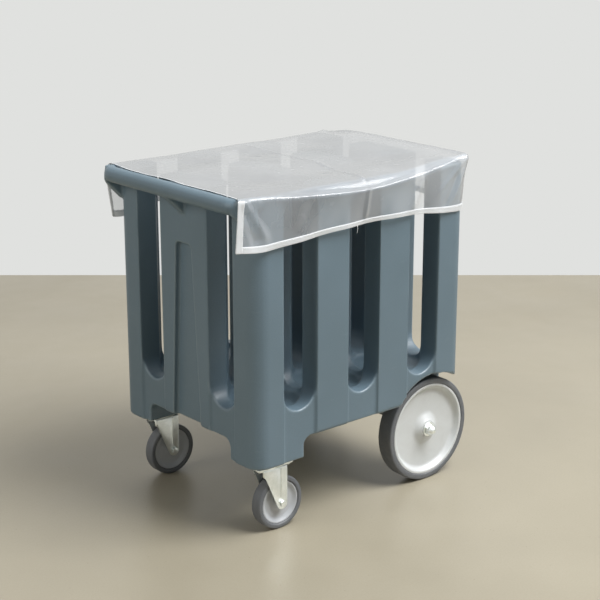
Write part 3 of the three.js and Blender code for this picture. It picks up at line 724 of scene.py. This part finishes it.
def cover_trim(tape_look, thread_look):
    """The white tape on the hem and the front edges, and the thread that holds it."""
    hem, top, front, half = COVER["hem"], COVER["top"], COVER["front"], COVER["half"]
    width, offset, step = BINDING["width"], BINDING["offset"], TAPE["step"]
    stand_off = STITCH_ROW["stand_off"]
    depths = np.linspace(0, width, 6)
    sewn_at = (width - STITCH_ROW["depth"], width - STITCH_ROW["depth"] + 0.001)
    pieces = []
    rows = tape_rows([hem_path(hem + d, step) for d in depths])
    pieces.append(folded_tape("cover_hem_tape", rows, offset))
    lines = []
    stitch_row = tape_rows([hem_path(hem + d, step) for d in sewn_at])
    normal = outward(stitch_row)
    lines.append(stitch_row[0] + normal[0] * (offset + stand_off))
    lines.append(stitch_row[0] - normal[0] * (offset + stand_off))
    front_offset = offset * TAPE["front_share"]
    for name, sign in SIDES:
        heights = lattice(hem + 0.001, top - 0.004, step)
        heights = heights if sign < 0 else heights[::-1]
        rows = tape_rows([[(front + d, sign * half, z) for z in heights] for d in depths])
        pieces.append(folded_tape(f"cover_front_tape_{name}", rows[:, ::-1], front_offset))
        seam = tape_rows([[(front + d, sign * half, z) for z in heights] for d in sewn_at])[:, ::-1]
        normal = outward(seam)
        lines.append(seam[0] + normal[0] * (front_offset + stand_off))
    inner_half = half - TAPE["corner_gap"]
    ys = lattice(-inner_half, inner_half, step)[::-1]
    depths = np.linspace(0, BINDING["edge_tape"], 4)
    rows = tape_rows([[(front + d, y, top) for y in ys] for d in depths])
    pieces.append(folded_tape("cover_top_edge", rows[:, ::-1], TAPE["edge_offset"]))
    for piece in pieces:
        finish_piece(piece, "cover", tape_look, "binding")
    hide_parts("cover_binding")
    sewn = stitches("cover_stitches", lines)
    finish_piece(sewn, "cover", thread_look, "binding")
    return [*pieces, sewn]


def cover(looks):
    sheet = cover_sheet(looks["vinyl"])
    trim = cover_trim(looks["tape"], looks["thread"])


# ---------- wheels ----------

# Tyre: rim radius, half width, shoulder radius, bulge. Centre: radius, bore, half width, lip, dish,
# then the hub's radius at its foot and at its end.
WHEELS = {
    "rear": {
        "tyre": (0.112, 0.021, 0.008, 0.005), "tyre_segments": 144,
        "core": (0.1117, 0.0133, 0.020, 0.005, 0.013, 0.038, 0.024), "core_segments": 128,
    },
    "caster": {
        "tyre": (0.050, 0.014, 0.006, 0.004), "tyre_segments": 112,
        "core": (0.0497, 0.0078, 0.012, 0.003, 0.006, 0.020, 0.013), "core_segments": 96,
    },
}


def wheel_centre(node):
    low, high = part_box(node)
    return (low.x + high.x) / 2, (low.y + high.y) / 2, (low.z + high.z) / 2


def tyre_outline(radius, rim, half, shoulder, bulge):
    """A solid tyre: a nearly flat tread, round shoulders, a side wall and a seat on the rim."""
    return rounded_loop([
        (rim, -half + 0.002, 0), (rim + 0.002, -half, 0.0008), (rim + bulge, -half - 0.0004, 0.002),
        (radius - 0.0004, -half, shoulder), (radius, 0, 0.01), (radius - 0.0004, half, shoulder),
        (rim + bulge, half + 0.0004, 0.002), (rim + 0.002, half, 0.0008), (rim, half - 0.002, 0),
    ], 7)


def core_outline(rim, bore, half, lip, dish, hub_foot, hub_end):
    """A dished centre: bore, tapered hub, recessed web, then a lip that stands level with the tyre."""
    def face(s):
        return [
            (bore, s * half, 0.0006), (hub_end - 0.003, s * half, 0.0015),
            (hub_end, s * (half - 0.003), 0.002), (hub_foot, s * (half - dish), 0.006),
            (rim - lip - 0.0085, s * (half - dish), 0.006),
            (rim - lip - 0.002, s * (half - 0.0015), 0.002), (rim - lip, s * half, 0.0012),
            (rim, s * half, 0.0010),
        ]
    return rounded_loop([*face(-1), *face(1)[::-1]], 5)


def wheel(kind, side, rubber_look, core_look):
    """A tyre and its centre. The tyre's radius is its height above the floor."""
    size, prefix, body = WHEELS[kind], f"{kind}_{side}", f"{kind}_wheel_{side}"
    centre = wheel_centre(f"{prefix}_tyre")
    outline = tyre_outline(centre[2], *size["tyre"])
    tyre = turned(f"{prefix}_tyre_fine", outline, centre, size["tyre_segments"])
    finish_piece(tyre, body, rubber_look, "tyre", f"{prefix}_tyre")
    core = turned(f"{prefix}_core_fine", core_outline(*size["core"]), centre, size["core_segments"])
    finish_piece(core, body, core_look, "wheel", f"{prefix}_wheel_core")


def wheels(looks):
    for side, _ in SIDES:
        wheel("rear", side, looks["rubber"], looks["wheel"])
        wheel("caster", side, looks["rubber"], looks["caster"])


# ---------- metal and nylon pieces ----------

def softened(node, body, look, slot, width):
    """A CAD piece with its sharp edges rounded off."""
    obj = welded_copy(f"{node}_fine", node)
    obj.data.polygons.foreach_set("use_smooth", [True] * len(obj.data.polygons))
    bevel = obj.modifiers.new("edges", "BEVEL")
    bevel.width = width
    bevel.segments = 2
    bevel.limit_method = "ANGLE"
    bevel.angle_limit = math.radians(38)
    bevel.harden_normals = True
    bevel.use_clamp_overlap = True
    apply_modifiers(obj)
    obj.data.set_sharp_from_angle(angle=math.radians(40))
    return finish_piece(obj, body, look, slot, node)


def fitted(looks, body, slot, width, *nodes):
    for node in nodes:
        softened(node, body, looks[slot], slot, width)


def hardware(looks):
    fitted(looks, "chassis", "steel", 0.0008, "rear_axle")
    for name, _ in SIDES:
        caster, rear, fork = f"caster_{name}", f"rear_{name}", f"caster_fork_{name}"
        plate_bolts = [f"{caster}_plate_bolt_{i}" for i in range(1, 5)]
        hanger_bolts = [f"hanger_bolt_{name}_{i}" for i in (1, 2)]
        fitted(
            looks, "chassis", "zinc", 0.0008,
            f"{caster}_top_plate", f"{caster}_swivel_race", f"{caster}_kingpin")
        fitted(looks, "chassis", "zinc", 0.0006, *plate_bolts)
        fitted(looks, fork, "zinc", 0.0007, f"{caster}_fork")
        fitted(looks, fork, "zinc", 0.0006, f"{caster}_axle_bolt", f"{caster}_axle_nut")
        fitted(looks, fork, "steel", 0.0004, f"{caster}_sleeve")
        fitted(looks, "chassis", "steel", 0.0008, f"axle_hanger_{name}")
        fitted(looks, "chassis", "zinc", 0.0006, *hanger_bolts)
        fitted(
            looks, "chassis", "zinc", 0.0006,
            f"{rear}_spacer", f"{rear}_washer", f"{rear}_cap_nut")
        fitted(looks, f"rear_wheel_{name}", "nylon", 0.0005, f"{rear}_outer_bush", f"{rear}_inner_bush")


# ---------- stage ----------

# Level directions as the camera sees them: away from it, and to its right.
BACK = Vector((0.649, 0.761, 0))
RIGHT = Vector((0.761, -0.649, 0))
FLOOR = {"back": 1.80, "front": -12, "side": 9}
CAMERA = {"place": (-2.147, -2.551, 1.428), "aim": (0.0723, 0.0512, 0.4147), "lens": 89.05}
LIT_WORLD = {"colour": (0.93, 0.96, 1.0, 1), "strength": 0.14}


def floor(look):
    back, front, side = BACK * FLOOR["back"], BACK * FLOOR["front"], RIGHT * FLOOR["side"]
    corners = [back - side, back + side, front + side, front - side]
    obj = new_object("floor", corners, [(0, 1, 2, 3)], smooth=False)
    obj.data.materials.append(look)


def area_light(name, place, target, size, watts, colour=(1, 1, 1)):
    data = bpy.data.lights.new(name, "AREA")
    data.shape = "RECTANGLE"
    data.size, data.size_y = size
    data.energy = watts
    data.color = colour
    obj = bpy.data.objects.new(name, data)
    obj.location = place
    obj.rotation_euler = (Vector(target) - Vector(place)).to_track_quat("-Z", "Y").to_euler()
    obj.visible_camera = False
    bpy.context.scene.collection.objects.link(obj)
    return obj


def lights():
    """Each light's name, place, target, size in metres, watts and colour."""
    up = Vector((0, 0, 1))
    area_light("key", (1.35, -2.45, 4.6), (0, 0, 0.4), (3.0, 3.0), 390, (0.98, 0.99, 1.0))
    edge = area_light("edge", (1.8, -1.9, 3.2), (0, -0.2, 0.7), (2.0, 2.0), 170)
    edge.visible_diffuse = False
    area_light("over", BACK * 0.9 + up * 3.4, (0, 0, 0.6), (2.4, 2.4), 18)
    area_light("fill", (-4.4, 0.5, 2.5), (0, 0, 0.3), (3.0, 2.4), 66, (1.0, 0.98, 0.94))
    wall = area_light("wall", BACK * 3.6 + up * 1.5, (0, 0, 0.3), (5.0, 2.6), 26)
    wall.visible_glossy = False


def world():
    """A pale wall as the camera sees it, and a softer even light for everything else."""
    made = bpy.data.worlds.new("pale_wall")
    bpy.context.scene.world = made
    made.use_nodes = True
    tree = made.node_tree
    tree.nodes.clear()
    seen = tree.nodes.new("ShaderNodeBackground")
    seen.inputs["Color"].default_value = (*linear(224, 225, 223), 1)
    lit = tree.nodes.new("ShaderNodeBackground")
    lit.inputs["Color"].default_value = LIT_WORLD["colour"]
    lit.inputs["Strength"].default_value = LIT_WORLD["strength"]
    path = tree.nodes.new("ShaderNodeLightPath")
    mixed = tree.nodes.new("ShaderNodeMixShader")
    out = tree.nodes.new("ShaderNodeOutputWorld")
    either = tree.nodes.new("ShaderNodeMath")
    either.operation = "MAXIMUM"
    tree.links.new(path.outputs["Is Camera Ray"], either.inputs[0])
    tree.links.new(path.outputs["Is Glossy Ray"], either.inputs[1])
    tree.links.new(either.outputs[0], mixed.inputs[0])
    tree.links.new(lit.outputs[0], mixed.inputs[1])
    tree.links.new(seen.outputs[0], mixed.inputs[2])
    tree.links.new(mixed.outputs[0], out.inputs["Surface"])


def camera():
    data = bpy.data.cameras.new("camera")
    data.lens = CAMERA["lens"]
    data.sensor_width = 36
    data.dof.use_dof = False
    obj = bpy.data.objects.new("camera", data)
    place = Vector(CAMERA["place"])
    obj.location = place
    obj.rotation_euler = (Vector(CAMERA["aim"]) - place).to_track_quat("-Z", "Y").to_euler()
    bpy.context.scene.collection.objects.link(obj)
    bpy.context.scene.camera = obj


def main():
    bpy.context.scene.view_settings.view_transform = "Standard"
    looks = {
        "vinyl": clear_vinyl(), "tape": tape(), "thread": thread(), "rubber": rubber(),
        "wheel": wheel_plastic("wheel_polypropylene", (208, 211, 211), (197, 199, 198)),
        # The casters' plastic is a darker, greyer copy of the wheels': painted shade for the shadow the
        # casters stand in.
        "caster": wheel_plastic("caster_polypropylene", (186, 189, 193), (174, 177, 181)),
        "zinc": zinc_plate(), "steel": axle_steel(), "nylon": nylon(),
    }
    camera()
    body_skin(moulded_body())
    cover(looks)
    wheels(looks)
    hardware(looks)
    floor(concrete_floor())
    lights()
    world()


main()
